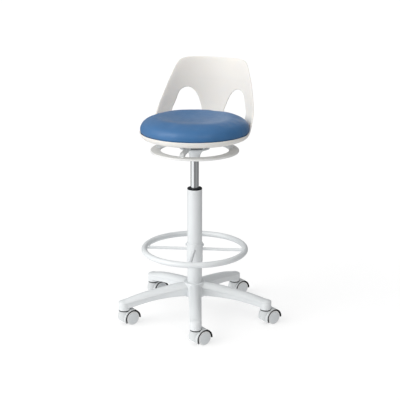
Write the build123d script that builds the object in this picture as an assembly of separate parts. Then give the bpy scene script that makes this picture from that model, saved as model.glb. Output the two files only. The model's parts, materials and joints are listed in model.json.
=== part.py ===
"""Height-adjustable dentist stool: round cushion in a moulded shell with a low back,
ring lever under the seat, gas lift, foot ring and a five-arm base on twin-wheel casters.

Millimetres. +Z is up, the origin is on the floor on the column's axis and the sitter faces -Y.
Every separate physical piece is written to parts/NODE.step.
"""
from build123d import *
from math import asin, cos, hypot, radians, sin
import os

# ---------------------------------------------------------------- driving dimensions
# casters
CASTER_COUNT = 5
CASTER_CIRCLE_R = 251.5
FIRST_ARM_DEG = 290.0
CASTER_HEADING_DEG = 54.0
WHEEL_R = 24.25
WHEEL_WIDTH = 15.5
WHEEL_OUTER_FACE = 24.0
WHEEL_DISC_R = 21.2
TRAIL = 21.0
AXLE_R = 3.0
STEM_R = 5.5
GUARD_INNER_R = 25.3
GUARD_OUTER_R = 29.6
GUARD_DEGS = (-4.0, 208.0)
HOOD_DEGS = (78.0, 208.0)
HOOD_OUTER_R = 32.2
HOOD_NECK_R = 18.5
HOOD_TOP_Z = 50.4
NECK_R = 13.0
NECK_TOP_Z = 46.6

# base
BOSS_R = 19.5
BOSS_BOTTOM_Z = 54.0
BOSS_RIM_Z = 81.5
BOSS_CROWN_Z = 88.0
SOCKET_R = 7.5
SOCKET_TOP_Z = 80.0
FLANGE_BOTTOM_Z = 50.8
HUB_R = 38.5
HUB_BOTTOM_Z = 78.0
HUB_TOP_Z = 127.3
ARM_WALL = 4.0
CAP_EDGE = 3.0
CAP_STEP = 1.6

# column and gas lift
COLUMN_R = 25.0
COLUMN_BORE_R = 23.0
COLUMN_BOTTOM_Z = 82.0
COLUMN_TOP_Z = 455.0
END_PLATE = 4.0
COLLAR_FLANGE = 4.5
COLLAR_SLEEVE = 80.0
CYLINDER_R = 14.0
CYLINDER_BORE_R = 12.0
CYLINDER_BOTTOM_Z = 205.0
CYLINDER_TOP_Z = 600.0
TAPER_START_Z = 560.0
TAPER_TIP_R = 12.95
ROD_R = 5.0
ROD_BOTTOM_Z = 74.0
ROD_TOP_Z = 352.0
BUFFER_TOP_Z = 110.7
PIN_R = 4.0
PIN_TOP_Z = 606.35
RUNNING_GAP = 0.06

# foot ring
FOOT_RING_R = 171.7
FOOT_TUBE_R = 9.75
FOOT_TUBE_WALL = 1.5
FOOT_RING_Z = 244.0
FOOT_SPOKE_R = 5.0
FOOT_SPOKE_DEG = 14.0
FOOT_COLLAR_R = 27.3
FOOT_COLLAR_ABOVE = 23.0
FOOT_COLLAR_BELOW = 45.0

# seat
SHELL_FLOOR_Z = 629.0
SHELL_WALL = 5.0
SEAT_RIM_Z = 652.0
BACK_TOP_Z = 870.0
PLATE_HALF = 80.0
PLATE_THICK = 5.0
BOLT_OFFSET = 60.0
BOLT_R = 4.0
BOARD_R = 147.0
BOARD_THICK = 10.0
COVER_THICK = 2.0
CUSHION_FOOT_R = 164.0
CUSHION_SIDE_R = 179.6
CUSHION_SIDE_Z = 664.0
CUSHION_CREST_R = 140.0
CUSHION_CREST_Z = 699.0
CUSHION_MIDDLE_Z = 691.0
SHOULDER_BEND_R = 30.0
CREST_BEND_R = 300.0

# ring lever
LEVER_INNER_R = 114.0
LEVER_OUTER_R = 147.6
LEVER_BOTTOM_Z = 584.5
LEVER_THICK = 7.0
LEVER_HUB_R = 38.0
LEVER_HUB_BOTTOM_Z = 606.5
LEVER_HUB_TOP_Z = 611.5
LEVER_SPOKE_WIDTH = 14.0
LEVER_SPOKE_DEGS = (-90.0, 29.0, -171.0)
FULCRUM_R = 30.0
FULCRUM_BOTTOM_Z = 611.8

PLATE_BOTTOM_Z = SHELL_FLOOR_Z - PLATE_THICK
BOARD_BOTTOM_Z = SHELL_FLOOR_Z + SHELL_WALL
BOARD_TOP_Z = BOARD_BOTTOM_Z + BOARD_THICK
LEVER_TOP_Z = LEVER_BOTTOM_Z + LEVER_THICK


# ---------------------------------------------------------------- small helpers
def rod(radius, z0, z1, x=0.0, y=0.0):
    """Upright cylinder from z0 to z1."""
    upright = Cylinder(radius, z1 - z0, align=(Align.CENTER, Align.CENTER, Align.MIN))
    return Pos(x, y, z0) * upright


def tube(outer, inner, z0, z1, x=0.0, y=0.0):
    """Upright tube from z0 to z1."""
    return rod(outer, z0, z1, x, y) - rod(inner, z0 - 1, z1 + 1, x, y)


def lathe(*edges):
    """Solid turned about Z from closed profile edges given as (radius, height)."""
    return revolve(Plane.XZ * make_face(list(edges)), Axis.Z)


def lathe_points(*points):
    """Solid turned about Z from a closed polygon of (radius, height) points."""
    return lathe(Polyline(*points, close=True))


def dome_arc(radius, rim_z, top_z):
    """Profile arc from (radius, rim_z) to the axis at top_z, centred on the axis."""
    sag = top_z - rim_z
    ball = (radius**2 + sag**2) / (2 * sag)
    half = asin(radius / ball) / 2
    middle = (ball * sin(half), top_z - ball * (1 - cos(half)))
    return ThreePointArc((radius, rim_z), middle, (0, top_z))


def crosswise(radius, y0, y1, x=0.0, z=0.0):
    """Cylinder along Y from y0 to y1."""
    bar = Cylinder(radius, y1 - y0)
    return Pos(x, (y0 + y1) / 2, z) * Rot(90, 0, 0) * bar


def around(piece, degrees):
    """Copies of a piece turned about Z."""
    return [Rot(0, 0, angle) * piece for angle in degrees]


def write(node, shape):
    """One STEP file for one node; a list of shapes is a group of separate solids."""
    if isinstance(shape, list):
        solids = [solid for item in shape for solid in item.solids()]
        shape = Compound(children=solids)
    elif len(shape.solids()) == 1:
        shape = shape.solids()[0]
    export_step(shape, f"parts/{node}.step")


def arm_angles():
    """Directions of the base's arms."""
    return [FIRST_ARM_DEG + 360.0 / CASTER_COUNT * i for i in range(CASTER_COUNT)]


# ---------------------------------------------------------------- base
def arm_section(radius, half, bottom, side, crown):
    """Section of an arm on a plane square to it, with walls set in below the cap's edge."""
    wall = half - CAP_STEP
    edge = side - CAP_EDGE
    outline = [
        Polyline((-half, side), (-half, edge), (-wall, edge - CAP_STEP), (-wall, bottom)),
        Line((-wall, bottom), (wall, bottom)),
        Polyline((wall, bottom), (wall, edge - CAP_STEP), (half, edge), (half, side)),
        ThreePointArc((half, side), (0, crown), (-half, side)),
    ]
    plane = Plane(origin=(radius, 0, 0), x_dir=(0, 1, 0), z_dir=(1, 0, 0))
    return plane * make_face(outline)


def arm():
    """One hollow arm along +X, open underneath, with its caster boss."""
    # radius, half width, underside, shoulder and crown heights
    stations = (
        (15.0, 22.5, 83.0, 112.5, 127.5),
        (70.0, 22.0, 84.0, 110.0, 124.5),
        (125.0, 21.3, 82.4, 102.5, 116.7),
        (160.0, 20.8, 78.5, 97.0, 111.0),
        (195.0, 20.3, 72.0, 91.0, 104.0),
        (225.0, 19.8, 65.5, 86.0, 96.0),
        (CASTER_CIRCLE_R, BOSS_R, 62.0, BOSS_RIM_Z, BOSS_CROWN_Z),
    )
    outer = loft([arm_section(*station) for station in stations])
    inner_sections = []
    for radius, half, bottom, side, crown in stations[1:-1]:
        wall = ARM_WALL
        inner_sections.append(arm_section(radius, half - wall, bottom - 6, side - 1.5, crown - wall))
    inner = loft(inner_sections)
    dome = lathe(
        Line((0, BOSS_BOTTOM_Z), (BOSS_R, BOSS_BOTTOM_Z)),
        Line((BOSS_R, BOSS_BOTTOM_Z), (BOSS_R, BOSS_RIM_Z)),
        dome_arc(BOSS_R, BOSS_RIM_Z, BOSS_CROWN_Z),
        Line((0, BOSS_CROWN_Z), (0, BOSS_BOTTOM_Z)),
    )
    boss = Pos(CASTER_CIRCLE_R, 0, 0) * dome
    socket = rod(SOCKET_R, BOSS_BOTTOM_Z - 1, SOCKET_TOP_Z, CASTER_CIRCLE_R)
    return (outer - inner) + boss - socket


def star_base():
    """Cast five-arm base with the hub that takes the column."""
    hub = chamfer(rod(HUB_R, HUB_BOTTOM_Z, HUB_TOP_Z).edges().filter_by(GeomType.CIRCLE), 1.5)
    base = hub
    for piece in around(arm(), arm_angles()):
        base = base + piece
    return base - rod(COLUMN_R, HUB_BOTTOM_Z - 1, HUB_TOP_Z + 10)


def column_tube():
    """Pressure tube with its end plate."""
    shell = tube(COLUMN_R, COLUMN_BORE_R, COLUMN_BOTTOM_Z, COLUMN_TOP_Z)
    plate = tube(COLUMN_BORE_R, ROD_R + 0.3, COLUMN_BOTTOM_Z, COLUMN_BOTTOM_Z + END_PLATE)
    return shell + plate


def guide_collar():
    """Plastic guide bush: a flange on the tube's rim and a long sleeve inside it."""
    bore = CYLINDER_R + RUNNING_GAP
    top = COLUMN_TOP_Z + COLLAR_FLANGE
    return lathe_points(
        (bore, COLUMN_TOP_Z - COLLAR_SLEEVE),
        (COLUMN_BORE_R, COLUMN_TOP_Z - COLLAR_SLEEVE),
        (COLUMN_BORE_R, COLUMN_TOP_Z),
        (COLUMN_R, COLUMN_TOP_Z),
        (COLUMN_R, top - 1.5),
        (COLUMN_R - 1.5, top),
        (bore + 1, top),
        (bore, top - 1),
    )


def caster_stem():
    """Steel stem held in the base's socket, with a groove for the caster's snap ring."""
    return lathe_points(
        (0, 28.0), (STEM_R - 1, 28.0), (STEM_R, 29.0), (STEM_R, 31.5), (STEM_R - 0.8, 32.0),
        (STEM_R - 0.8, 34.0), (STEM_R, 34.5), (STEM_R, 78.0), (STEM_R - 1, 79.0), (0, 79.0),
    )


def caster_socket():
    """Black flanged sleeve between a stem and its boss."""
    return lathe_points(
        (STEM_R, FLANGE_BOTTOM_Z),
        (BOSS_R - 1.7, FLANGE_BOTTOM_Z),
        (BOSS_R - 0.7, FLANGE_BOTTOM_Z + 1),
        (BOSS_R - 0.7, BOSS_BOTTOM_Z),
        (SOCKET_R, BOSS_BOTTOM_Z),
        (SOCKET_R, SOCKET_TOP_Z),
        (STEM_R, SOCKET_TOP_Z),
    )


# ---------------------------------------------------------------- casters
# A caster is drawn with its stem on Z and its wheels trailing along +X.
def sector(radius, half_width, from_deg, to_deg):
    """Slice of a disc about the axle, between two angles seen from the side."""
    steps = 12
    reach = radius * 1.3
    corners = [(TRAIL, WHEEL_R)]
    for i in range(steps + 1):
        angle = radians(from_deg + (to_deg - from_deg) * i / steps)
        corners.append((TRAIL + reach * cos(angle), WHEEL_R + reach * sin(angle)))
    wedge_face = Plane.XZ * make_face(Polyline(*corners, close=True))
    wedge = extrude(wedge_face, half_width, both=True)
    disc = crosswise(radius, -half_width, half_width, TRAIL, WHEEL_R)
    return disc & wedge


def neck_cut():
    """Slanted cut that ends the caster's neck below."""
    slope = Polyline((-40, 30), (-21, 21.5), (-4, 9.5), (-4, -10), (-40, -10), close=True)
    return extrude(Plane.XZ * make_face(slope), 40, both=True)


def under_boss():
    """Room that the boss and its flange need above the hood's roof."""
    return rod(BOSS_R + 0.8, HOOD_TOP_Z, 70)


def caster_body():
    """Black body: neck round the stem, web between the wheels and both mudguards."""
    half = WHEEL_OUTER_FACE - 0.5
    web_half = WHEEL_OUTER_FACE - WHEEL_WIDTH - 1
    guard = sector(GUARD_OUTER_R, half, *GUARD_DEGS)
    guard = guard - crosswise(GUARD_INNER_R, -half - 1, half + 1, TRAIL, WHEEL_R)
    web = crosswise(GUARD_INNER_R - 6, -web_half, web_half, TRAIL, WHEEL_R)
    web = web + sector(GUARD_OUTER_R - 1, web_half, *GUARD_DEGS)
    neck = rod(NECK_R, 12.0, NECK_TOP_Z)
    for y in (web_half, -web_half - 30):
        neck = neck - crosswise(GUARD_INNER_R, y, y + 30, TRAIL, WHEEL_R)
    body = guard + web + neck - neck_cut() - rod(BOSS_R + 0.8, NECK_TOP_Z, 70)
    body = body - rod(STEM_R + RUNNING_GAP, 27.5, 60)
    return body - crosswise(AXLE_R, -30, 30, TRAIL, WHEEL_R)


def caster_hood():
    """Light cover over the neck and the leading half of the wheels."""
    cover = rod(HOOD_NECK_R, 14.0, HOOD_TOP_Z) + sector(HOOD_OUTER_R, WHEEL_OUTER_FACE, *HOOD_DEGS)
    guard_room = crosswise(GUARD_OUTER_R, -30, 30, TRAIL, WHEEL_R) - rod(BOSS_R + 0.8, NECK_TOP_Z, 70)
    wheel_room = crosswise(GUARD_INNER_R, -30, 30, TRAIL, WHEEL_R)
    hood = cover - guard_room - wheel_room - under_boss() - neck_cut()
    return hood - rod(NECK_R, 0, NECK_TOP_Z) - rod(STEM_R + 1, 0, 60)


def caster_axle():
    """Steel axle across the web."""
    return chamfer(crosswise(AXLE_R, -19.5, 19.5, TRAIL, WHEEL_R).edges(), 0.5)


def caster_wheel(side):
    """Moulded wheel with a raised disc on its outer face; side is +1 or -1."""
    inner = WHEEL_OUTER_FACE - WHEEL_WIDTH
    outer = WHEEL_OUTER_FACE
    profile = Polyline(
        (0, outer + 0.3), (9.0, outer + 0.1), (WHEEL_DISC_R, outer - 0.9), (WHEEL_DISC_R, outer - 1.6),
        (WHEEL_DISC_R + 1.0, outer - 1.6), (WHEEL_R - 1.0, outer - 1.6), (WHEEL_R, outer - 3.2),
        (WHEEL_R, inner + 1.5), (WHEEL_R - 1.5, inner), (AXLE_R + RUNNING_GAP, inner),
        (AXLE_R + RUNNING_GAP, 20.0), (0, 20.0), close=True,
    )
    wheel = revolve(Plane.XZ * make_face(profile), Axis.Z)
    return Pos(TRAIL, 0, WHEEL_R) * Rot(-90 * side, 0, 0) * wheel


# ---------------------------------------------------------------- lift
def bearing_race(z0):
    """Washer of the thrust bearing."""
    return tube(14.5, ROD_R + 0.3, z0, z0 + 2.0)


def bearing_balls(z):
    """Ring of balls between the washers."""
    return [Pos(10.5 * cos(radians(a)), 10.5 * sin(radians(a)), z) * Sphere(2.5) for a in range(0, 360, 36)]


def bearing_cage(z):
    """Cage that spaces the balls."""
    cage = tube(14.0, ROD_R + 1.0, z - 1.0, z + 1.0)
    for a in range(0, 360, 36):
        cage = cage - rod(2.52, z - 2, z + 2, 10.5 * cos(radians(a)), 10.5 * sin(radians(a)))
    return cage


def piston_rod():
    """Lift rod with its bearing shoulder and the groove of the retaining clip."""
    return lathe_points(
        (0, ROD_BOTTOM_Z), (ROD_R - 1, ROD_BOTTOM_Z), (ROD_R, ROD_BOTTOM_Z + 1), (ROD_R, 78.9),
        (ROD_R - 1, 78.9), (ROD_R - 1, 80.3), (ROD_R, 80.3), (ROD_R, 95.0), (9.5, 95.0), (9.5, 99.0),
        (ROD_R, 99.0), (ROD_R, 335.0), (ROD_R - 1, 335.0), (ROD_R - 1, ROD_TOP_Z), (0, ROD_TOP_Z),
    )


def piston():
    """Piston on the rod's top end, with its seal groove."""
    r = CYLINDER_BORE_R - 0.08
    return lathe_points(
        (ROD_R - 1, 335.0), (r, 335.0), (r, 340.0), (r - 1.5, 340.5), (r - 1.5, 343.5), (r, 344.0),
        (r, 349.0), (ROD_R - 1, 349.0),
    )


def rod_clip():
    """Open retaining clip in the rod's groove."""
    ring = tube(9.0, ROD_R - 1, 79.0, 80.2)
    return ring - Pos(8, 0, 79.5) * Box(12, 5, 4)


def gas_cylinder():
    """Chromed lift cylinder with its taper and closed top."""
    bore_top = CYLINDER_TOP_Z - 12
    outside = lathe_points(
        (0, CYLINDER_BOTTOM_Z), (CYLINDER_R - 1, CYLINDER_BOTTOM_Z), (CYLINDER_R, CYLINDER_BOTTOM_Z + 1),
        (CYLINDER_R, TAPER_START_Z), (TAPER_TIP_R, CYLINDER_TOP_Z), (0, CYLINDER_TOP_Z),
    )
    bore = rod(CYLINDER_BORE_R, CYLINDER_BOTTOM_Z - 1, bore_top)
    return outside - bore - rod(PIN_R + RUNNING_GAP, bore_top - 1, CYLINDER_TOP_Z + 1)


def rod_gland():
    """Seal and guide for the rod in the cylinder's open end."""
    return tube(CYLINDER_BORE_R, ROD_R + RUNNING_GAP, CYLINDER_BOTTOM_Z + 1, CYLINDER_BOTTOM_Z + 18)


def valve_block():
    """Valve body under the cylinder's top."""
    return tube(CYLINDER_BORE_R, PIN_R + RUNNING_GAP, CYLINDER_TOP_Z - 42, CYLINDER_TOP_Z - 12)


def release_pin():
    """Valve pin with a domed top."""
    foot = CYLINDER_TOP_Z - 34
    return lathe(
        Line((0, foot), (PIN_R, foot)),
        Line((PIN_R, foot), (PIN_R, PIN_TOP_Z - 1.6)),
        dome_arc(PIN_R, PIN_TOP_Z - 1.6, PIN_TOP_Z),
        Line((0, PIN_TOP_Z), (0, foot)),
    )


# ---------------------------------------------------------------- foot ring
def foot_spoke_line(radius):
    """Bar along +X in the foot ring's plane."""
    return Pos(0, 0, FOOT_RING_Z) * Rot(0, 90, 0) * Cylinder(
        radius, 190, align=(Align.CENTER, Align.CENTER, Align.MIN)
    )


def foot_spoke_angles():
    return [FOOT_SPOKE_DEG + 90 * i for i in range(4)]


def foot_ring_rim():
    """Hollow round tube bent into a circle, drilled for its spokes."""
    rim = Torus(FOOT_RING_R, FOOT_TUBE_R) - Torus(FOOT_RING_R, FOOT_TUBE_R - FOOT_TUBE_WALL)
    rim = Pos(0, 0, FOOT_RING_Z) * rim
    drill = foot_spoke_line(FOOT_SPOKE_R) & rod(FOOT_RING_R, FOOT_RING_Z - 20, FOOT_RING_Z + 20)
    return rim - around(drill, foot_spoke_angles())


def foot_ring_spokes():
    """Four straight bars from the collar into the rim."""
    end = rod(FOOT_RING_R - FOOT_TUBE_R + FOOT_TUBE_WALL + 2, FOOT_RING_Z - 20, FOOT_RING_Z + 20)
    start = rod(FOOT_COLLAR_R, FOOT_RING_Z - 20, FOOT_RING_Z + 20)
    return around((foot_spoke_line(FOOT_SPOKE_R) & end) - start, foot_spoke_angles())


def screw_angles():
    return [FOOT_SPOKE_DEG, FOOT_SPOKE_DEG + 180]


def screw_bar(radius, r0, r1):
    """Short bar along +X near the collar's top."""
    bar = Cylinder(radius, r1 - r0, align=(Align.CENTER, Align.CENTER, Align.MIN))
    return Pos(r0, 0, FOOT_RING_Z + FOOT_COLLAR_ABOVE - 8) * Rot(0, 90, 0) * bar


def foot_ring_collar():
    """Clamp collar that slides on the column."""
    bottom = FOOT_RING_Z - FOOT_COLLAR_BELOW
    top = FOOT_RING_Z + FOOT_COLLAR_ABOVE
    outside = chamfer(rod(FOOT_COLLAR_R, bottom, top).edges().filter_by(GeomType.CIRCLE), 0.8)
    collar = outside - rod(COLUMN_R + RUNNING_GAP, bottom - 1, top + 1)
    for hole in around(screw_bar(3.0, 20, 40), screw_angles()):
        collar = collar - hole
    return collar


def foot_ring_screws():
    """Two clamp screws through the collar's wall."""
    shank = screw_bar(3.0, COLUMN_R + 0.15, FOOT_COLLAR_R + 0.5)
    head = screw_bar(4.6, FOOT_COLLAR_R + 0.4, FOOT_COLLAR_R + 4.4)
    head = chamfer(head.edges().filter_by(GeomType.CIRCLE), 0.6)
    return around(shank + head, screw_angles())


# ---------------------------------------------------------------- ring lever
def lever_ring():
    """Flat ring that the sitter lifts anywhere round its edge."""
    middle = (LEVER_INNER_R + LEVER_OUTER_R) / 2
    section = RectangleRounded(LEVER_OUTER_R - LEVER_INNER_R, LEVER_THICK, 2.6)
    placed = Plane.XZ * Pos(middle, LEVER_BOTTOM_Z + LEVER_THICK / 2) * section
    return revolve(placed, Axis.Z)


def lever_spokes():
    """Three arms that drop from the lever's hub to the top of the ring."""
    side = Polyline(
        (LEVER_HUB_R - 4, LEVER_HUB_TOP_Z), (70, 610.5), (122, 604.0), (128, 599.0), (128, LEVER_TOP_Z),
        (LEVER_INNER_R + 2, LEVER_TOP_Z), (110, 594.5), (70, 602.5), (LEVER_HUB_R - 4, LEVER_HUB_BOTTOM_Z),
        close=True,
    )
    bar = extrude(Plane.XZ * make_face(side), LEVER_SPOKE_WIDTH / 2, both=True)
    bar = bar - rod(LEVER_HUB_R, 590, 620)
    return around(bar, LEVER_SPOKE_DEGS)


def lever_hub():
    """Disc that tips on the fulcrum ring and presses the valve pin."""
    disc = rod(LEVER_HUB_R, LEVER_HUB_BOTTOM_Z, LEVER_HUB_TOP_Z)
    return chamfer(disc.edges().filter_by(GeomType.CIRCLE), 0.8)


# ---------------------------------------------------------------- seat
def seat_hub():
    """Bell casting: taper socket for the cylinder, a flange and three posts."""
    flange_top = 598.5
    taper = (CYLINDER_R - TAPER_TIP_R) / (CYLINDER_TOP_Z - TAPER_START_Z)
    mouth_r = TAPER_TIP_R + taper * (CYLINDER_TOP_Z - flange_top)
    bell = lathe(
        Line((CYLINDER_R, 556.0), (17.2, 556.0)),
        Spline((17.2, 556.0), (17.9, 568.0), (22.5, 580.0), (31.5, 588.5), (40.0, 592.5), (50.0, 594.5)),
        Line((50.0, 594.5), (50.0, flange_top)),
        Line((50.0, flange_top), (mouth_r, flange_top)),
        Line((mouth_r, flange_top), (CYLINDER_R, TAPER_START_Z)),
        Line((CYLINDER_R, TAPER_START_Z), (CYLINDER_R, 556.0)),
    )
    for angle in (-30.0, -130.0, 109.0):
        post = rod(4.0, flange_top - 1, PLATE_BOTTOM_Z, 44.0)
        bell = bell + Rot(0, 0, angle) * post
    return bell


def bolt_points():
    return [(sx * BOLT_OFFSET, sy * BOLT_OFFSET) for sx in (-1, 1) for sy in (-1, 1)]


def seat_plate():
    """Square steel plate bolted under the shell."""
    plate = Pos(0, 0, PLATE_BOTTOM_Z) * Box(
        2 * PLATE_HALF, 2 * PLATE_HALF, PLATE_THICK, align=(Align.CENTER, Align.CENTER, Align.MIN)
    )
    plate = fillet(plate.edges().filter_by(Axis.Z), 14)
    for x, y in bolt_points():
        plate = plate - rod(BOLT_R, PLATE_BOTTOM_Z - 1, SHELL_FLOOR_Z + 1, x, y)
    return plate


def fulcrum_ring():
    """Hard ring that the lever's hub tips on."""
    return lathe_points(
        (FULCRUM_R - 2, PLATE_BOTTOM_Z), (FULCRUM_R - 2, FULCRUM_BOTTOM_Z + 1.5), (FULCRUM_R, FULCRUM_BOTTOM_Z),
        (FULCRUM_R + 2, FULCRUM_BOTTOM_Z + 1.5), (FULCRUM_R + 2, PLATE_BOTTOM_Z),
    )


def seat_bolt(x, y):
    """Hexagon bolt up through the plate and the shell."""
    head = extrude(RegularPolygon(7.5, 6), 5.3)
    head = Pos(x, y, PLATE_BOTTOM_Z - 5.3) * head
    return head + rod(BOLT_R, PLATE_BOTTOM_Z - 0.5, BOARD_TOP_Z - 2, x, y)


def tee_nut(x, y):
    """Tee nut let into the top of the seat board."""
    barrel = rod(5.5, BOARD_BOTTOM_Z + 0.5, BOARD_TOP_Z, x, y)
    flange = rod(11.0, BOARD_TOP_Z - 1.5, BOARD_TOP_Z, x, y)
    return barrel + flange - rod(BOLT_R, BOARD_BOTTOM_Z - 1, BOARD_TOP_Z + 1, x, y)


def seat_board():
    """Plywood disc under the foam."""
    board = rod(BOARD_R, BOARD_BOTTOM_Z, BOARD_TOP_Z)
    for x, y in bolt_points():
        board = board - rod(5.5, BOARD_BOTTOM_Z - 1, BOARD_TOP_Z + 1, x, y)
        board = board - rod(11.0, BOARD_TOP_Z - 1.5, BOARD_TOP_Z + 1, x, y)
    return board


def cushion_arcs():
    """Section of the cushion's outside as tangent arcs, from its foot to the dished middle.

    Each is a centre, a start, an end and whether the centre lies inside the cushion (1) or above it (-1).
    """
    foot = (CUSHION_FOOT_R, BOARD_TOP_Z)
    side = (CUSHION_SIDE_R, CUSHION_SIDE_Z)
    crest = (CUSHION_CREST_R, CUSHION_CREST_Z)
    middle = (0.0, CUSHION_MIDDLE_Z)

    # under the widest point: through the foot, upright at the side
    run = CUSHION_SIDE_R - CUSHION_FOOT_R
    drop = CUSHION_SIDE_Z - BOARD_TOP_Z
    under_r = (run**2 + drop**2) / (2 * run)
    under = (CUSHION_SIDE_R - under_r, CUSHION_SIDE_Z)

    # shoulder: upright at the side, then a wider arc that is level at the crest
    shoulder = (CUSHION_SIDE_R - SHOULDER_BEND_R, CUSHION_SIDE_Z)
    across = shoulder[0] - CUSHION_CREST_R
    rise = CUSHION_CREST_Z - CUSHION_SIDE_Z
    brow_r = (across**2 + rise**2 - SHOULDER_BEND_R**2) / (2 * (rise - SHOULDER_BEND_R))
    brow = (CUSHION_CREST_R, CUSHION_CREST_Z - brow_r)
    shoulder_end = toward(brow, shoulder, brow_r)

    # dish: level at the crest, then a wide hollow that is level in the middle
    dip = CUSHION_CREST_Z - CUSHION_MIDDLE_Z
    both_r = (CUSHION_CREST_R**2 + dip**2) / (2 * dip)
    lip = (CUSHION_CREST_R, CUSHION_CREST_Z - CREST_BEND_R)
    dish = (0.0, CUSHION_MIDDLE_Z + both_r - CREST_BEND_R)
    lip_end = toward(lip, dish, CREST_BEND_R)
    return (
        (under, foot, side, 1),
        (shoulder, side, shoulder_end, 1),
        (brow, shoulder_end, crest, 1),
        (lip, crest, lip_end, 1),
        (dish, lip_end, middle, -1),
    )


def toward(start, target, length):
    """Point at a length from one point towards another."""
    gap = hypot(target[0] - start[0], target[1] - start[1])
    share = length / gap
    return (start[0] + (target[0] - start[0]) * share, start[1] + (target[1] - start[1]) * share)


def cushion_section(inset):
    """First point, last point and arcs of the cushion's section, drawn inwards by an inset."""
    arcs = []
    ends = []
    for centre, start, end, side in cushion_arcs():
        radius = hypot(start[0] - centre[0], start[1] - centre[1]) - side * inset
        first = toward(centre, start, radius)
        last = toward(centre, end, radius)
        halfway = ((first[0] + last[0]) / 2, (first[1] + last[1]) / 2)
        arcs.append(ThreePointArc(first, toward(centre, halfway, radius), last))
        ends.extend((first, last))
    return ends[0], ends[-1], arcs


def seat_foam():
    """Foam pad on the board."""
    foot = (CUSHION_FOOT_R, BOARD_TOP_Z)
    first, last, arcs = cushion_section(COVER_THICK)
    return lathe(
        Line((0, BOARD_TOP_Z), foot),
        Line(foot, first),
        *arcs,
        Line(last, (0, BOARD_TOP_Z)),
    )


def seat_cover():
    """Vinyl cover over the foam."""
    first, last, arcs = cushion_section(0.0)
    inner_first, inner_last, inner_arcs = cushion_section(COVER_THICK)
    return lathe(
        Line(inner_first, first),
        *arcs,
        Line(last, inner_last),
        *inner_arcs,
    )


def back_outline():
    """Front view of the back: half of a smooth closed outline mirrored about its middle."""
    side = (
        (190.0, SEAT_RIM_Z), (188.0, 662.0), (182.5, 676.0), (174.5, 694.0), (166.5, 722.0),
        (158.5, 753.0), (150.0, 784.0), (140.5, 812.0), (131.5, 837.0), (122.0, 856.0),
        (107.0, 866.5), (85.0, 869.3), (0.0, BACK_TOP_Z),
    )
    right = Spline(*side, tangents=((0, 1), (-1, 0)))
    left = Spline(*[(-x, z) for x, z in side], tangents=((0, 1), (1, 0)))
    low = Polyline((190.0, SEAT_RIM_Z), (190.0, 600.0), (-190.0, 600.0), (-190.0, SEAT_RIM_Z))
    return Plane.XZ * make_face([right, low, left])


def rim_sweep():
    """Side view of the room the back stands in: its edge sweeps up and back from the seat's rim."""
    start = (0.0, SEAT_RIM_Z)
    end = (117.0, 733.0)
    sweep = Spline(
        start, (22.0, 654.0), (44.0, 658.5), (62.0, 666.0), (80.0, 680.0), (95.0, 695.0), (108.0, 714.0), end,
        tangents=((1, 0), (0.45, 1)),
    )
    rest = Polyline(end, (122.0, 900.0), (260.0, 900.0), (260.0, 600.0), (0.0, 600.0), start)
    return extrude(Plane.YZ * make_face([sweep, rest]), 260, both=True)


def back_opening():
    """Front view of one arched opening beside the spine."""
    arch = Spline(
        (40.0, 684.0), (44.5, 704.0), (52.0, 724.0), (66.0, 750.0), (92.0, 766.0),
        (111.0, 758.0), (122.0, 732.0), (130.5, 704.0), (133.0, 684.0),
        tangents=((0, 1), (0, -1)),
    )
    foot = Spline((133.0, 684.0), (124.0, 672.0), (86.0, 668.0), (49.0, 672.0), (40.0, 684.0),
                  tangents=((0, -1), (0, 1)))
    return Plane.XZ * make_face([arch, foot])


def seat_shell():
    """One-piece moulded bowl that runs up into the low back."""
    outer = (
        (148.0, SHELL_FLOOR_Z), (165.0, 631.6), (176.0, 637.5), (181.8, 647.0), (185.2, 657.0), (189.0, 669.0),
        (194.0, 684.0), (199.5, 700.0), (206.5, 731.0), (211.5, 766.0), (217.0, 817.0), (222.0, BACK_TOP_Z + 2),
    )
    floor = SHELL_FLOOR_Z + SHELL_WALL
    inner = (
        (148.0, floor), (162.0, 636.4), (171.4, 641.3), (177.0, 649.0), (180.6, 658.4), (184.3, 670.3),
        (189.2, 685.3), (194.7, 701.0), (201.6, 731.7), (206.6, 766.6), (212.0, 817.5), (217.0, BACK_TOP_Z + 2),
    )
    body = lathe(
        Line((0, SHELL_FLOOR_Z), outer[0]),
        Spline(*outer, tangents=((1, 0), (0.1, 1))),
        Line(outer[-1], inner[-1]),
        Spline(*inner, tangents=((1, 0), (0.1, 1))),
        Line(inner[0], (0, floor)),
        Line((0, floor), (0, SHELL_FLOOR_Z)),
    )
    behind = extrude(back_outline(), -260) & rim_sweep()
    bowl = rod(240, 600, SEAT_RIM_Z)
    shell = (body & behind) + (body & bowl)
    opening = back_opening()
    shell = shell - extrude(opening, -260) - extrude(mirror(opening, Plane.YZ), -260)
    for x, y in bolt_points():
        shell = shell - rod(BOLT_R, SHELL_FLOOR_Z - 1, floor + 1, x, y)
    return shell


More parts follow.
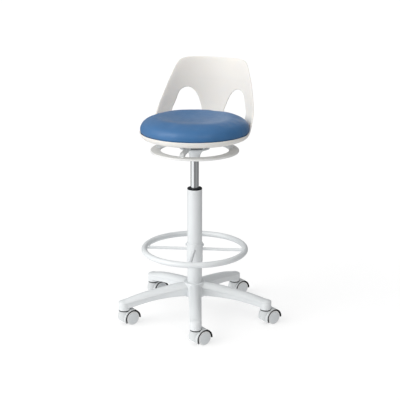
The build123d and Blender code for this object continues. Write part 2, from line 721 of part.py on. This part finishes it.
# ---------------------------------------------------------------- build
def build():
    os.makedirs("parts", exist_ok=True)
    write("star_base", star_base())
    write("column_tube", column_tube())
    write("guide_collar", guide_collar())
    placed_stem = Pos(CASTER_CIRCLE_R, 0, 0) * caster_stem()
    placed_socket = Pos(CASTER_CIRCLE_R, 0, 0) * caster_socket()
    write("caster_stems", around(placed_stem, arm_angles()))
    write("caster_sockets", around(placed_socket, arm_angles()))
    caster_pieces = {
        "body": caster_body(),
        "hood": caster_hood(),
        "axle": caster_axle(),
        "wheel_left": caster_wheel(1),
        "wheel_right": caster_wheel(-1),
    }
    for number, angle in enumerate(arm_angles(), start=1):
        x = CASTER_CIRCLE_R * cos(radians(angle))
        y = CASTER_CIRCLE_R * sin(radians(angle))
        for name, piece in caster_pieces.items():
            write(f"caster_{number}_{name}", Pos(x, y, 0) * Rot(0, 0, CASTER_HEADING_DEG) * piece)

    plate_top = COLUMN_BOTTOM_Z + END_PLATE
    write("bearing_lower_race", bearing_race(plate_top))
    write("bearing_balls", bearing_balls(plate_top + 4.5))
    write("bearing_cage", bearing_cage(plate_top + 4.5))
    write("bearing_upper_race", bearing_race(plate_top + 7.0))
    write("piston_rod", piston_rod())
    write("piston", piston())
    write("rubber_buffer", tube(10.5, ROD_R, 99.0, BUFFER_TOP_Z))
    write("rod_clip", rod_clip())
    write("clip_washer", tube(10.5, ROD_R + 0.2, 80.4, COLUMN_BOTTOM_Z))
    write("gas_cylinder", gas_cylinder())
    write("rod_gland", rod_gland())
    write("valve_block", valve_block())
    write("release_pin", release_pin())

    write("foot_ring_rim", foot_ring_rim())
    write("foot_ring_spokes", foot_ring_spokes())
    write("foot_ring_collar", foot_ring_collar())
    write("foot_ring_screws", foot_ring_screws())

    write("lever_ring", lever_ring())
    write("lever_spokes", lever_spokes())
    write("lever_hub", lever_hub())

    write("seat_hub", seat_hub())
    write("seat_plate", seat_plate())
    write("fulcrum_ring", fulcrum_ring())
    write("seat_bolts", [seat_bolt(x, y) for x, y in bolt_points()])
    write("tee_nuts", [tee_nut(x, y) for x, y in bolt_points()])
    write("seat_shell", seat_shell())
    write("seat_board", seat_board())
    write("seat_foam", seat_foam())
    write("seat_cover", seat_cover())


build()
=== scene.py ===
"""Looks of the dentist stool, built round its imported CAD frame. Metres, +Z up, the sitter faces -Y."""

import json
import math

import bmesh
import bpy
import numpy as np
from mathutils import Matrix, Vector
from mathutils.kdtree import KDTree


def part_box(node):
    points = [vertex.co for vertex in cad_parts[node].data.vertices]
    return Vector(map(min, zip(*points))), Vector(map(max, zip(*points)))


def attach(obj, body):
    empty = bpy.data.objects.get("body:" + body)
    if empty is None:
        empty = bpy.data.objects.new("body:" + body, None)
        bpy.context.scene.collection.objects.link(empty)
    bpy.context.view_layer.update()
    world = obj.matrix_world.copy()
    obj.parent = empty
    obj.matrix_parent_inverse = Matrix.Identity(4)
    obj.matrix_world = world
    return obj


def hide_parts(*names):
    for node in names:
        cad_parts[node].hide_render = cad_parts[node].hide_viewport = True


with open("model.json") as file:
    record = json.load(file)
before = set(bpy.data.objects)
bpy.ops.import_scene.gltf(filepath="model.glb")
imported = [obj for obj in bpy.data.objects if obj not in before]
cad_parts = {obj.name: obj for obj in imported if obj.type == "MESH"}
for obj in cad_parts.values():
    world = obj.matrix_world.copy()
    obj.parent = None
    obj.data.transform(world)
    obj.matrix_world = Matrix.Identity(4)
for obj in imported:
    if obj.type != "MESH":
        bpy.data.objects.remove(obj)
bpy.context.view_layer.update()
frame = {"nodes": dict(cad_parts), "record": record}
scene = bpy.context.scene
NODES = frame["nodes"]
SLOT_OF = {part["node"]: part["material_slot"] for part in frame["record"]["subparts"]}
BODIES = frame["record"]["behaviour"]["bodies"]
BODY_OF = {node: body for body, nodes in BODIES.items() for node in nodes}


# ---------------------------------------------------------------- camera, light and floor
VIEW_AZIMUTH = math.radians(19.3)   # the camera stands this far round from -Y, towards +X
CAMERA_DISTANCE = 3.3321
CAMERA_HEIGHT = 1.3554
CAMERA_PITCH = 0.2748
CAMERA_LENS = 92.565
CAMERA_SHIFT = 0.0132
SKY_LEFT_RIGHT = (0.72, 0.25)
GROUND_LEFT_RIGHT = (1.10, 0.45)
FLOOR_GLOW = 0.64
FLOOR_ALBEDO = 0.40
FLOOR_SIZE = 60
BACKDROP_GLOW = 1.02
PANEL_RADIUS = 0.85
PANEL_FOOT = 0.001
PANEL_TOP = 0.75
PANEL_STEPS = 24
PANELS = {
    "panel_front": (-26.0, 34.0, 0.24),
    "panel_gap": (34.0, 58.0, 0.34),
    "panel_right": (58.0, 104.0, 0.23),
    "panel_left": (-128.0, -92.0, 0.58),
    "panel_back_left": (-178.0, -128.0, 0.14),
    "panel_back_right": (104.0, 178.0, 0.24),
}   # from and to in degrees, strength


def from_view(x, y, z):
    """A point given as seen: x to the right, y away from the camera, z up, from the column's foot."""
    return Matrix.Rotation(VIEW_AZIMUTH, 3, "Z") @ Vector((x, y, z))


def aim(thing, place, target):
    """Puts a camera or light at a place, with its -Z towards a target."""
    thing.location = place
    thing.rotation_euler = (Vector(target) - Vector(place)).to_track_quat("-Z", "Y").to_euler()


def make_camera():
    data = bpy.data.cameras.new("camera")
    data.sensor_width = 36.0
    data.lens = CAMERA_LENS
    data.shift_x = CAMERA_SHIFT
    camera = bpy.data.objects.new("camera", data)
    scene.collection.objects.link(camera)
    camera.location = from_view(0.0, -CAMERA_DISTANCE, CAMERA_HEIGHT)
    camera.rotation_euler = (math.pi / 2 - CAMERA_PITCH, 0.0, VIEW_AZIMUTH)
    scene.camera = camera


def glowing(name, strength):
    """Plain white emission, for the reflection panels."""
    material = bpy.data.materials.new(name)
    material.use_nodes = True
    nodes = material.node_tree.nodes
    glow = nodes.new("ShaderNodeEmission")
    glow.inputs["Color"].default_value = (1.0, 1.0, 1.0, 1.0)
    glow.inputs["Strength"].default_value = strength
    material.node_tree.links.new(glow.outputs["Emission"], nodes["Material Output"].inputs["Surface"])
    return material


def make_world():
    """A room that is brighter on the left; the camera sees it as pure white."""
    world = bpy.data.worlds.new("studio")
    scene.world = world
    world.use_nodes = True
    nodes = world.node_tree.nodes
    links = world.node_tree.links

    def ranged(value, start, end, low, high):
        node = nodes.new("ShaderNodeMapRange")
        node.inputs["From Min"].default_value = start
        node.inputs["From Max"].default_value = end
        node.inputs["To Min"].default_value = low
        node.inputs["To Max"].default_value = high
        links.new(value, node.inputs["Value"])
        return node.outputs["Result"]

    turned = nodes.new("ShaderNodeMapping")
    turned.inputs["Rotation"].default_value = (0.0, 0.0, -VIEW_AZIMUTH)
    links.new(nodes.new("ShaderNodeTexCoord").outputs["Generated"], turned.inputs["Vector"])
    axes = nodes.new("ShaderNodeSeparateXYZ")
    links.new(turned.outputs["Vector"], axes.inputs["Vector"])
    sky = ranged(axes.outputs["X"], -1.0, 1.0, *SKY_LEFT_RIGHT)
    ground = ranged(axes.outputs["X"], -1.0, 1.0, *GROUND_LEFT_RIGHT)
    level = nodes.new("ShaderNodeMix")
    links.new(ranged(axes.outputs["Z"], -0.06, 0.06, 0.0, 1.0), level.inputs[0])
    links.new(ground, level.inputs[2])
    links.new(sky, level.inputs[3])
    room = nodes["Background"]
    room.inputs["Color"].default_value = (0.975, 0.985, 1.0, 1.0)
    links.new(level.outputs[0], room.inputs["Strength"])

    backdrop = nodes.new("ShaderNodeBackground")
    backdrop.inputs["Color"].default_value = (1.0, 1.0, 1.0, 1.0)
    backdrop.inputs["Strength"].default_value = BACKDROP_GLOW
    path = nodes.new("ShaderNodeLightPath")
    mix = nodes.new("ShaderNodeMixShader")
    links.new(path.outputs["Is Camera Ray"], mix.inputs["Fac"])
    links.new(room.outputs["Background"], mix.inputs[1])
    links.new(backdrop.outputs["Background"], mix.inputs[2])
    links.new(mix.outputs["Shader"], nodes["World Output"].inputs["Surface"])


def add_sun(name, energy, spread, colour, place):
    """Broad sun as large as a soft box, given where it stands."""
    sun = bpy.data.lights.new(name, "SUN")
    sun.energy = energy
    sun.angle = math.radians(spread)
    sun.color = colour
    holder = bpy.data.objects.new(name, sun)
    scene.collection.objects.link(holder)
    aim(holder, place, (0, 0, 0.5))


def make_lights():
    add_sun("key", 1.68, 50, (1.0, 0.985, 0.955), from_view(-2.7, -1.35, 2.1))
    add_sun("overhead", 0.62, 100, (0.97, 0.985, 1.0), from_view(-0.3, -0.6, 4.0))
    add_sun("front_fill", 0.46, 35, (1.0, 0.94, 0.86), from_view(1.2, -2.8, 1.9))


def make_under_fill():
    """Low card of light that lifts the underside of the seat, unseen by gloss."""
    card = bpy.data.lights.new("under_fill", "AREA")
    card.shape = "SQUARE"
    card.size = 0.6
    card.energy = 1.1
    holder = bpy.data.objects.new("under_fill", card)
    scene.collection.objects.link(holder)
    holder.visible_glossy = False
    aim(holder, from_view(-0.45, -1.0, 0.16), (0, 0, 0.6))


def make_panel(name, from_deg, to_deg, strength):
    """Curved upright panel round the stool that only gloss picks up; 0 degrees is towards the camera."""
    rings = []
    for i in range(PANEL_STEPS + 1):
        angle = math.radians(from_deg + (to_deg - from_deg) * i / PANEL_STEPS)
        foot = from_view(PANEL_RADIUS * math.sin(angle), -PANEL_RADIUS * math.cos(angle), PANEL_FOOT)
        rings.append((foot, Vector((foot.x, foot.y, PANEL_TOP))))
    mesh = bpy.data.meshes.new(name)
    points = [point for ring in rings for point in ring]
    faces = [(2 * i, 2 * i + 2, 2 * i + 3, 2 * i + 1) for i in range(PANEL_STEPS)]
    mesh.from_pydata(points, [], faces)
    mesh.materials.append(glowing(name, strength))
    panel = bpy.data.objects.new(name, mesh)
    scene.collection.objects.link(panel)
    panel.visible_camera = False
    panel.visible_diffuse = False
    panel.visible_shadow = False
    panel.visible_transmission = False


def make_stage():
    """Pale floor, and grey panels out of sight that give the chrome its bands."""
    bpy.ops.mesh.primitive_plane_add(size=FLOOR_SIZE, location=(0, 0, 0))
    floor = bpy.context.object
    floor.name = "floor"
    surface = bpy.data.materials.new("floor_paper")
    surface.use_nodes = True
    shader = surface.node_tree.nodes["Principled BSDF"]
    shader.inputs["Base Color"].default_value = (FLOOR_ALBEDO, FLOOR_ALBEDO, FLOOR_ALBEDO, 1.0)
    shader.inputs["Roughness"].default_value = 0.9
    shader.inputs["Specular IOR Level"].default_value = 0.1
    shader.inputs["Emission Color"].default_value = (1.0, 1.0, 1.0, 1.0)
    shader.inputs["Emission Strength"].default_value = FLOOR_GLOW
    floor.data.materials.append(surface)
    floor.visible_diffuse = False
    floor.visible_shadow = False
    for name, (from_deg, to_deg, strength) in PANELS.items():
        make_panel(name, from_deg, to_deg, strength)


# ---------------------------------------------------------------- materials
class Surface:
    """A Principled material whose variation is built from textures in the stool's own frame."""

    def __init__(self, name, **sockets):
        self.material = bpy.data.materials.new(name)
        self.material.use_nodes = True
        self.nodes = self.material.node_tree.nodes
        self.links = self.material.node_tree.links
        self.shader = self.nodes["Principled BSDF"]
        self.place = self.nodes.new("ShaderNodeTexCoord").outputs["Object"]
        self.height = None
        for socket, value in sockets.items():
            self.shader.inputs[socket.replace("_", " ")].default_value = value

    def stretched(self, scale):
        mapping = self.nodes.new("ShaderNodeMapping")
        mapping.inputs["Scale"].default_value = scale
        self.links.new(self.place, mapping.inputs["Vector"])
        return mapping.outputs["Vector"]

    def noise(self, scale, detail=2.0, stretch=None):
        texture = self.nodes.new("ShaderNodeTexNoise")
        texture.inputs["Scale"].default_value = scale
        texture.inputs["Detail"].default_value = detail
        source = self.stretched(stretch) if stretch else self.place
        self.links.new(source, texture.inputs["Vector"])
        return texture.outputs["Fac"]

    def cells(self, scale):
        texture = self.nodes.new("ShaderNodeTexVoronoi")
        texture.feature = "DISTANCE_TO_EDGE"
        texture.inputs["Scale"].default_value = scale
        self.links.new(self.place, texture.inputs["Vector"])
        return texture.outputs["Distance"]

    def spread(self, value, low, high, start=0.3, end=0.7):
        """Maps a texture's value from start..end to low..high."""
        node = self.nodes.new("ShaderNodeMapRange")
        node.inputs["From Min"].default_value = start
        node.inputs["From Max"].default_value = end
        node.inputs["To Min"].default_value = low
        node.inputs["To Max"].default_value = high
        self.links.new(value, node.inputs["Value"])
        return node.outputs["Result"]

    def colour(self, value, first, second):
        """Base colour between two colours."""
        mix = self.nodes.new("ShaderNodeMix")
        mix.data_type = "RGBA"
        mix.inputs[6].default_value = (*first, 1.0)
        mix.inputs[7].default_value = (*second, 1.0)
        self.links.new(value, mix.inputs[0])
        self.links.new(mix.outputs[2], self.shader.inputs["Base Color"])

    def roughness(self, value):
        self.links.new(value, self.shader.inputs["Roughness"])

    def bump(self, value, depth, strength=1.0):
        """Adds relief of a depth in metres, on top of any relief there already."""
        node = self.nodes.new("ShaderNodeBump")
        node.inputs["Distance"].default_value = depth
        node.inputs["Strength"].default_value = strength
        self.links.new(value, node.inputs["Height"])
        if self.height is not None:
            self.links.new(self.height, node.inputs["Normal"])
        self.height = node.outputs["Normal"]
        self.links.new(self.height, self.shader.inputs["Normal"])


def shade(colour, factor):
    return tuple(channel * factor for channel in colour)


def enamel(name, colour):
    """Powder coat: fine orange peel, slight clouding of colour and gloss."""
    surface = Surface(name, Coat_Weight=0.15, Coat_Roughness=0.25)
    clouds = surface.noise(9.0, 3.0)
    surface.colour(surface.spread(clouds, 0.0, 1.0), colour, shade(colour, 0.965))
    surface.roughness(surface.spread(surface.noise(30.0, 4.0), 0.34, 0.46))
    surface.bump(surface.noise(520.0, 2.0), 0.00006, 0.5)
    return surface.material


def moulded(name, colour, roughness, grain, shine=0.5):
    """Injection-moulded plastic with a fine spark-eroded grain."""
    surface = Surface(name)
    surface.shader.inputs["Specular IOR Level"].default_value = shine
    clouds = surface.noise(7.0, 2.0)
    surface.colour(surface.spread(clouds, 0.0, 1.0), colour, shade(colour, 0.97))
    gloss = surface.noise(42.0, 5.0)
    surface.roughness(surface.spread(gloss, roughness - 0.05, roughness + 0.07))
    surface.bump(surface.noise(grain, 3.0), 0.00005, 0.45)
    return surface.material


def let_light_through(material):
    """Makes a thin wall glow warmly where light falls on its far side."""
    shader = material.node_tree.nodes["Principled BSDF"]
    shader.inputs["Subsurface Weight"].default_value = 0.22
    shader.inputs["Subsurface Radius"].default_value = (1.0, 0.80, 0.62)
    shader.inputs["Subsurface Scale"].default_value = 0.007
    return material


def vinyl(name, colour):
    """Upholstery vinyl: pebble grain, finer creases and a soft sheen."""
    surface = Surface(name)
    surface.shader.inputs["Specular IOR Level"].default_value = 0.5
    pebbles = surface.cells(760.0)
    surface.bump(surface.spread(pebbles, 0.0, 1.0, 0.0, 0.16), 0.00016, 0.4)
    surface.bump(surface.noise(2100.0, 2.0), 0.00005, 0.35)
    surface.bump(surface.noise(28.0, 2.0, (1.0, 1.0, 2.2)), 0.0012, 0.12)
    clouds = surface.noise(13.0, 3.0)
    surface.colour(surface.spread(clouds, 0.0, 1.0), colour, shade(colour, 0.92))
    surface.roughness(surface.spread(surface.noise(35.0, 4.0), 0.33, 0.42))
    return surface.material


def chrome(name):
    """Hard chrome with faint polishing lines round the rod."""
    surface = Surface(name, Metallic=1.0)
    lines = surface.noise(900.0, 2.0, (0.05, 0.05, 1.0))
    clouds = surface.spread(surface.noise(15.0), 0.0, 1.0)
    surface.colour(clouds, (0.86, 0.88, 0.90), (0.80, 0.82, 0.845))
    surface.roughness(surface.spread(lines, 0.07, 0.15))
    surface.bump(lines, 0.00001, 0.2)
    return surface.material


def turned_steel(name):
    """Bare steel with turning marks."""
    surface = Surface(name, Metallic=1.0)
    marks = surface.noise(1400.0, 3.0, (0.08, 0.08, 1.0))
    surface.colour(surface.spread(marks, 0.0, 1.0), (0.58, 0.59, 0.60), (0.44, 0.45, 0.46))
    surface.roughness(surface.spread(marks, 0.28, 0.42))
    surface.bump(marks, 0.00002, 0.3)
    return surface.material


def matt_rubber(name):
    surface = Surface(name)
    clouds = surface.spread(surface.noise(60.0, 4.0), 0.0, 1.0)
    surface.colour(clouds, (0.022, 0.022, 0.022), (0.012, 0.012, 0.012))
    surface.roughness(surface.spread(surface.noise(90.0, 3.0), 0.7, 0.85))
    surface.bump(surface.noise(1500.0), 0.00005, 0.4)
    return surface.material


def plywood(name):
    surface = Surface(name)
    grain = surface.noise(60.0, 6.0, (0.08, 1.0, 6.0))
    surface.colour(surface.spread(grain, 0.0, 1.0), (0.50, 0.34, 0.19), (0.34, 0.21, 0.11))
    surface.roughness(surface.spread(grain, 0.55, 0.75))
    surface.bump(grain, 0.0002, 0.3)
    return surface.material


def open_foam(name):
    surface = Surface(name)
    pores = surface.noise(700.0, 5.0)
    surface.colour(surface.spread(pores, 0.0, 1.0), (0.72, 0.64, 0.42), (0.58, 0.50, 0.30))
    surface.roughness(surface.spread(pores, 0.85, 1.0))
    surface.bump(pores, 0.0006, 0.6)
    return surface.material


def make_materials():
    """One finish for each of the record's material slots."""
    return {
        "white_enamel": enamel("white_enamel", (0.682, 0.706, 0.72)),
        "white_plastic": moulded("white_plastic", (0.74, 0.745, 0.74), 0.42, 800.0),
        "shell_plastic": let_light_through(
            moulded("shell_plastic", (0.775, 0.752, 0.716), 0.46, 650.0, 0.3)
        ),
        "grey_plastic": moulded("grey_plastic", (0.585, 0.605, 0.615), 0.34, 900.0),
        # wheel_plastic is lighter than the disc material below it, so the rim left round each disc is partly
        # painted highlight and partly the wheel's own lighter grey.
        "wheel_plastic": moulded("wheel_plastic", (0.78, 0.79, 0.79), 0.36, 900.0),
        "wheel_disc_inside_painted_highlight_rim": moulded("wheel_disc_inside_painted_highlight_rim", (0.64, 0.665, 0.68), 0.36, 900.0),
        "black_plastic": moulded("black_plastic", (0.008, 0.009, 0.011), 0.55, 700.0, 0.12),
        "chrome_plate": chrome("chrome_plate"),
        "bare_steel": turned_steel("bare_steel"),
        "buffer_rubber": matt_rubber("buffer_rubber"),
        "plywood": plywood("plywood"),
        "foam": open_foam("foam"),
        "blue_vinyl": vinyl("blue_vinyl", (0.034, 0.140, 0.325)),
    }


# ---------------------------------------------------------------- mesh helpers
def new_piece(name, mesh):
    piece = bpy.data.objects.new(name, mesh)
    scene.collection.objects.link(piece)
    return piece


def settle(piece):
    """Applies the piece's modifiers."""
    depsgraph = bpy.context.evaluated_depsgraph_get()
    mesh = bpy.data.meshes.new_from_object(piece.evaluated_get(depsgraph))
    piece.modifiers.clear()
    piece.data = mesh
    return piece


def smooth_faces(piece):
    piece.data.polygons.foreach_set("use_smooth", [True] * len(piece.data.polygons))


def finish_piece(piece, materials, slot_name, body, *replaced):
    """Gives a new piece its slot's material, puts it on its body and hides the CAD nodes that it stands for."""
    piece.data.materials.clear()
    piece.data.materials.append(materials[slot_name])
    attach(piece, body)
    if replaced:
        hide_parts(*replaced)
    return piece


def softened(node, name, voxel, rounds, ratio):
    """A copy of a CAD node with its edges rounded, as moulding and casting leave them."""
    piece = new_piece(name, NODES[node].data.copy())
    remesh = piece.modifiers.new("remesh", "REMESH")
    remesh.mode = "VOXEL"
    remesh.voxel_size = voxel
    relax = piece.modifiers.new("relax", "SMOOTH")
    relax.factor = 0.5
    relax.iterations = rounds
    thin = piece.modifiers.new("thin", "DECIMATE")
    thin.ratio = ratio
    settle(piece)
    smooth_faces(piece)
    return piece


# ---------------------------------------------------------------- cushion
CUSHION_SEGMENTS = 128
CUSHION_SWELL_CAP = 0.0035   # furthest that a point may move in the simulation
CUSHION_VOXEL = 0.005
CUSHION_FRAMES = 20
CUSHION_HELD = 0.006         # the foot is held still up to this height
CUSHION_PRESSURE = 4.0
CUSHION_RELAX = 26
CUSHION_EASE = 0.0008        # how far it stands out past the CAD cover
CUSHION_LIFT = 0.0005


def cushion_outline():
    """Right half of the cushion's section, as (share of radius, height above its foot)."""
    return (
        (0.0, 0.0), (0.45, 0.0), (0.80, 0.0), (0.925, 0.0), (0.958, 0.0015), (0.978, 0.0045), (0.990, 0.0085),
        (0.998, 0.0145), (1.0, 0.0205), (0.996, 0.0270), (0.985, 0.0335), (0.963, 0.0395), (0.925, 0.0450),
        (0.870, 0.0495), (0.800, 0.0525), (0.720, 0.0540), (0.630, 0.0534), (0.480, 0.0498), (0.320, 0.0464),
        (0.160, 0.0444), (0.0, 0.0438),
    )


def cushion_mesh(name, centre, radius, foot):
    """Closed pad turned from the outline."""
    mesh = bpy.data.meshes.new(name)
    work = bmesh.new()
    rings = []
    for share, height in cushion_outline():
        z = foot + height
        if share == 0.0:
            rings.append([work.verts.new((centre.x, centre.y, z))])
            continue
        ring = []
        for i in range(CUSHION_SEGMENTS):
            angle = 2 * math.pi * i / CUSHION_SEGMENTS
            x = centre.x + radius * share * math.cos(angle)
            y = centre.y + radius * share * math.sin(angle)
            ring.append(work.verts.new((x, y, z)))
        rings.append(ring)
    for lower, upper in zip(rings, rings[1:]):
        for i in range(CUSHION_SEGMENTS):
            j = (i + 1) % CUSHION_SEGMENTS
            if len(lower) == 1:
                work.faces.new((lower[0], upper[j], upper[i]))
            elif len(upper) == 1:
                work.faces.new((lower[i], lower[j], upper[0]))
            else:
                work.faces.new((lower[i], lower[j], upper[j], upper[i]))
    bmesh.ops.recalc_face_normals(work, faces=work.faces)
    work.to_mesh(mesh)
    work.free()
    return mesh


def inflate(piece):
    """Blows the pad up as cloth, and keeps every point near where it was."""
    remesh = piece.modifiers.new("remesh", "REMESH")
    remesh.mode = "VOXEL"
    remesh.voxel_size = CUSHION_VOXEL
    settle(piece)
    start = np.empty(len(piece.data.vertices) * 3, np.float32)
    piece.data.vertices.foreach_get("co", start)
    start = start.reshape(-1, 3)
    foot = start[:, 2].min()
    held = piece.vertex_groups.new(name="held")
    for index, height in enumerate(start[:, 2]):
        if height < foot + CUSHION_HELD:
            held.add([index], 1.0, "REPLACE")
    cloth = piece.modifiers.new("cloth", "CLOTH")
    cloth.settings.use_pressure = True
    cloth.settings.uniform_pressure_force = CUSHION_PRESSURE
    cloth.settings.effector_weights.gravity = 0.0
    cloth.settings.tension_stiffness = 18.0
    cloth.settings.compression_stiffness = 18.0
    cloth.settings.shear_stiffness = 8.0
    cloth.settings.bending_stiffness = 2.0
    cloth.settings.vertex_group_mass = "held"
    cloth.point_cache.frame_start = 1
    cloth.point_cache.frame_end = CUSHION_FRAMES
    for number in range(1, CUSHION_FRAMES + 1):
        scene.frame_set(number)
    settle(piece)
    scene.frame_set(1)
    moved = np.empty_like(start).reshape(-1)
    piece.data.vertices.foreach_get("co", moved)
    moved = moved.reshape(-1, 3)
    step = moved - start
    length = np.linalg.norm(step, axis=1, keepdims=True)
    step *= np.minimum(1.0, CUSHION_SWELL_CAP / np.maximum(length, 1e-9))
    piece.data.vertices.foreach_set("co", (start + step).reshape(-1))
    piece.data.update()


def fit_round(piece, centre, radius):
    """Scales a round piece about its axis to a radius."""
    count = len(piece.data.vertices)
    points = np.empty(count * 3, np.float32)
    piece.data.vertices.foreach_get("co", points)
    points = points.reshape(-1, 3)
    middle = np.array((centre.x, centre.y), np.float32)
    flat = points[:, :2] - middle
    widest = np.percentile(np.linalg.norm(flat, axis=1), 99.8)
    points[:, :2] = middle + flat * (radius / widest)
    piece.data.vertices.foreach_set("co", points.reshape(-1))
    piece.data.update()


def make_cushion(materials):
    low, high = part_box("seat_cover")
    centre = (low + high) / 2
    radius = (high.x - low.x) / 2 + CUSHION_EASE
    mesh = cushion_mesh("seat_cushion", centre, radius, low.z + CUSHION_LIFT)
    piece = new_piece("seat_cushion", mesh)
    inflate(piece)
    relax = piece.modifiers.new("relax", "SMOOTH")
    relax.factor = 0.5
    relax.iterations = CUSHION_RELAX
    divide = piece.modifiers.new("divide", "SUBSURF")
    divide.levels = 1
    divide.render_levels = 1
    settle(piece)
    fit_round(piece, centre, radius)
    smooth_faces(piece)
    finish_piece(piece, materials, "blue_vinyl", "seat", "seat_cover", "seat_foam")


# ---------------------------------------------------------------- shell and base
ROLL_WIDTH = 0.017      # how far in from the back's edge the roll starts
ROLL_DEPTH = 0.0020     # how far the edge leans out
ROLL_START_Z = 0.664
ROLL_FULL_Z = 0.705
OUTLINE_STEP = 0.003


def back_edge_points(points):
    """Points along the outside edge of the back: the furthest round at each height and the highest all round."""
    angle = np.arctan2(points[:, 0], points[:, 1])
    height = points[:, 2]
    radius = float(np.hypot(points[:, 0], points[:, 1]).mean())
    edge = []
    level = np.floor((height - ROLL_START_Z) / OUTLINE_STEP).astype(int)
    for number in range(level.max() + 1):
        row = np.nonzero(level == number)[0]
        if len(row):
            edge.append(row[angle[row].argmin()])
            edge.append(row[angle[row].argmax()])
    turn = np.round(angle * radius / OUTLINE_STEP).astype(int)
    for number in np.unique(turn):
        column = np.nonzero(turn == number)[0]
        edge.append(column[height[column].argmax()])
    return points[sorted(set(edge))]


def roll_back_edge(piece):
    """Leans the back's outside edge outwards, as its moulded lip does."""
    count = len(piece.data.vertices)
    points = np.empty(count * 3, np.float32)
    piece.data.vertices.foreach_get("co", points)
    points = points.reshape(-1, 3)
    above = np.nonzero(points[:, 2] > ROLL_START_Z)[0]
    edge = back_edge_points(points[above])
    tree = KDTree(len(edge))
    for index, place in enumerate(edge):
        tree.insert(Vector(place.tolist()), index)
    tree.balance()
    for index in above:
        place = points[index]
        gap = tree.find(Vector(place.tolist()))[2]
        if gap < ROLL_WIDTH:
            rise = min(1.0, float(place[2] - ROLL_START_Z) / (ROLL_FULL_Z - ROLL_START_Z))
            lean = ROLL_DEPTH * rise * (1.0 - gap / ROLL_WIDTH) ** 2
            points[index, :2] *= 1.0 + lean / math.hypot(place[0], place[1])
    piece.data.vertices.foreach_set("co", points.reshape(-1))
    piece.data.update()


def make_shell(materials):
    piece = softened("seat_shell", "seat_shell_moulding", 0.0016, 5, 0.32)
    roll_back_edge(piece)
    finish_piece(piece, materials, "shell_plastic", "seat", "seat_shell")


def make_base(materials):
    piece = softened("star_base", "star_base_casting", 0.0011, 2, 0.22)
    finish_piece(piece, materials, "white_enamel", "base", "star_base")


# ---------------------------------------------------------------- wheel discs
DISC_R = 0.0204
DISC_STEPS = 48
DISC_FROM_MIDDLE = 0.024
CASTER_HEADING = math.radians(54.0)


def disc_mesh(name, centre, outward):
    """Shallow lens that stands just proud of a wheel's outer face."""
    profile = (
        (0.0, 0.00055), (0.006, 0.00045), (0.0095, 0.00030), (0.016, -0.00020), (DISC_R - 0.0005, -0.00055),
        (DISC_R, -0.00085), (DISC_R, -0.0012),
    )
    turn = outward.to_track_quat("Z", "Y")
    work = bmesh.new()
    rings = []
    for radius, height in profile:
        count = 1 if radius == 0.0 else DISC_STEPS
        ring = []
        for i in range(count):
            angle = 2 * math.pi * i / count
            local = Vector((radius * math.cos(angle), radius * math.sin(angle), height))
            ring.append(work.verts.new(centre + turn @ local))
        rings.append(ring)
    for inner, outer in zip(rings, rings[1:]):
        for i in range(DISC_STEPS):
            j = (i + 1) % DISC_STEPS
            if len(inner) == 1:
                work.faces.new((inner[0], outer[i], outer[j]))
            else:
                work.faces.new((inner[i], outer[i], outer[j], inner[j]))
    work.faces.new(list(reversed(rings[-1])))
    mesh = bpy.data.meshes.new(name)
    work.to_mesh(mesh)
    work.free()
    return mesh


def make_wheel_discs(materials):
    """Grey disc on the outer face of every wheel. Being darker than the wheel round it, it leaves the wheel's
    rim as a ring that is partly painted highlight and partly the wheel's own lighter grey.
    """
    across = Vector((-math.sin(CASTER_HEADING), math.cos(CASTER_HEADING), 0.0))
    for number in range(1, 6):
        hub_low, hub_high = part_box(f"caster_{number}_axle")
        middle = (hub_low + hub_high) / 2
        for side, sign in (("left", 1.0), ("right", -1.0)):
            name = f"caster_{number}_{side}_disc"
            outward = across * sign
            piece = new_piece(name, disc_mesh(name, middle + outward * DISC_FROM_MIDDLE, outward))
            smooth_faces(piece)
            piece.data.materials.append(materials["wheel_disc_inside_painted_highlight_rim"])
            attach(piece, BODY_OF[f"caster_{number}_wheel_{side}"])


# ---------------------------------------------------------------- the scene
def paint_nodes(materials):
    """Gives every CAD node that is carried over its slot's finish."""
    for name, node in NODES.items():
        node.data.materials.clear()
        node.data.materials.append(materials[SLOT_OF[name]])


def build():
    scene.view_settings.view_transform = "Standard"
    make_camera()
    make_world()
    make_lights()
    make_under_fill()
    make_stage()
    materials = make_materials()
    paint_nodes(materials)
    make_cushion(materials)
    make_shell(materials)
    make_base(materials)
    make_wheel_discs(materials)


build()
